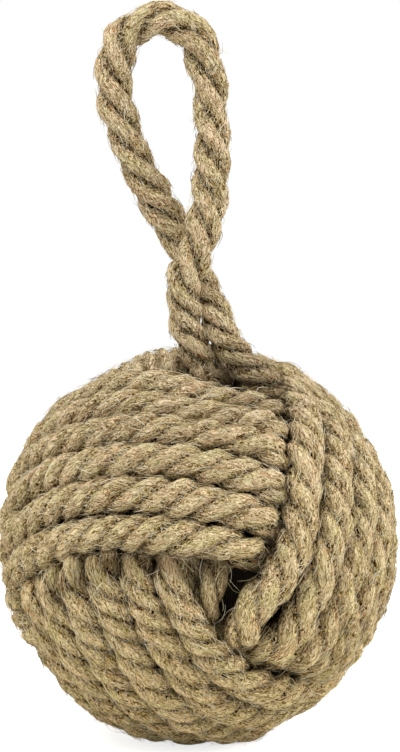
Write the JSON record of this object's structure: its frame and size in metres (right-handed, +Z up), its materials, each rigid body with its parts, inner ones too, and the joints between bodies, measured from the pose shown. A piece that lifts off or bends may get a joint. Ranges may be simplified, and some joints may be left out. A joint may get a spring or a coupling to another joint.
{
  "type": "monkey fist knot",
  "caption": "Round monkey's fist knot of laid jute rope over a weighted core, with a rope loop on top as its handle; it stands on a small flat pressed into its lowest turns.",
  "frame": {"origin": "bottom centre: the middle of the ball's footprint, on the surface that it stands on", "axes": "+Z up, -Y toward the side that shows the handle's corner and the meeting of three faces, +X to the right of that side"},
  "size_m": [0.1456, 0.1466, 0.2726],
  "materials": {
    "jute_rope": "three-strand laid jute rope, matt, with loose fibres",
    "canvas": "dark plain woven canvas",
    "twine": "waxed twine",
    "sand": "dry sand"
  },
  "bodies": {
    "ball": {"first_winding": "jute_rope", "second_winding": "jute_rope", "third_winding": "jute_rope", "tucked_end": "jute_rope", "left_root": "jute_rope", "right_root": "jute_rope", "core_bag": "canvas", "core_sand": "sand", "bag_tie": "twine"},
    "handle": {"handle_loop": "jute_rope"}
  },
  "joints": [
    {"name": "handle_tilt", "type": "hinge", "parent": "ball", "child": "handle", "pos_m": [0.0033, -0.026, 0.15294], "axis": [1, 0, 0], "range_deg": [-60, 60]}
  ]
}
